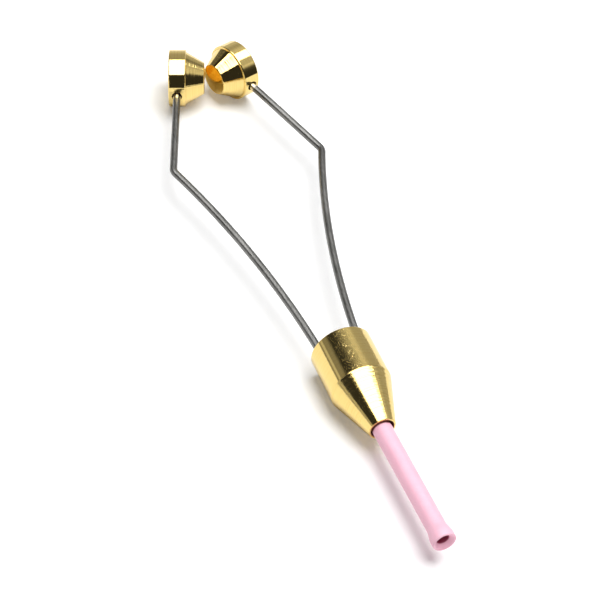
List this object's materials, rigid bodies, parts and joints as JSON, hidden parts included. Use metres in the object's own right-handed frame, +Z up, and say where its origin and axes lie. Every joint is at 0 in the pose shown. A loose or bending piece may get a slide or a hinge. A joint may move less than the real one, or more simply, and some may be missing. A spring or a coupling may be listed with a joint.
{
  "type": "bobbin holder for fly tying",
  "caption": "Sprung wire bobbin holder: brass barrel with a ceramic thread tube, bowed spring legs and conical brass feet that grip a thread spool.",
  "frame": {"origin": "on the barrel's axis, in the middle of the barrel's cylinder", "axes": "+Y along the barrel's axis from the thread tube towards the feet, +Z up with the tool lying flat, +X to the right leg"},
  "size_m": [0.0281, 0.1135, 0.0102],
  "materials": {
    "brass": "turned and polished",
    "ceramic": "satin fired alumina",
    "spring_steel": "drawn, satin",
    "adhesive": "matte"
  },
  "bodies": {
    "holder": {"barrel": "brass", "thread_tube": "ceramic", "tube_bond": "adhesive", "left_leg_root": "spring_steel", "right_leg_root": "spring_steel", "left_root_bond": "adhesive", "right_root_bond": "adhesive"},
    "left_spring_leg": {"left_leg": "spring_steel", "left_foot": "brass", "left_foot_bond": "adhesive"},
    "right_spring_leg": {"right_leg": "spring_steel", "right_foot": "brass", "right_foot_bond": "adhesive"}
  },
  "joints": [
    {"name": "left_leg_flex", "type": "hinge", "parent": "holder", "child": "left_spring_leg", "pos_m": [-0.00429, 0.01371, 0], "axis": [0, 0, 1], "range_deg": [0, 15], "stiffness_Nm_per_rad": 0.95},
    {"name": "right_leg_flex", "type": "hinge", "parent": "holder", "child": "right_spring_leg", "pos_m": [0.0047, 0.01367, 0], "axis": [0, 0, -1], "range_deg": [0, 15], "stiffness_Nm_per_rad": 0.95}
  ]
}
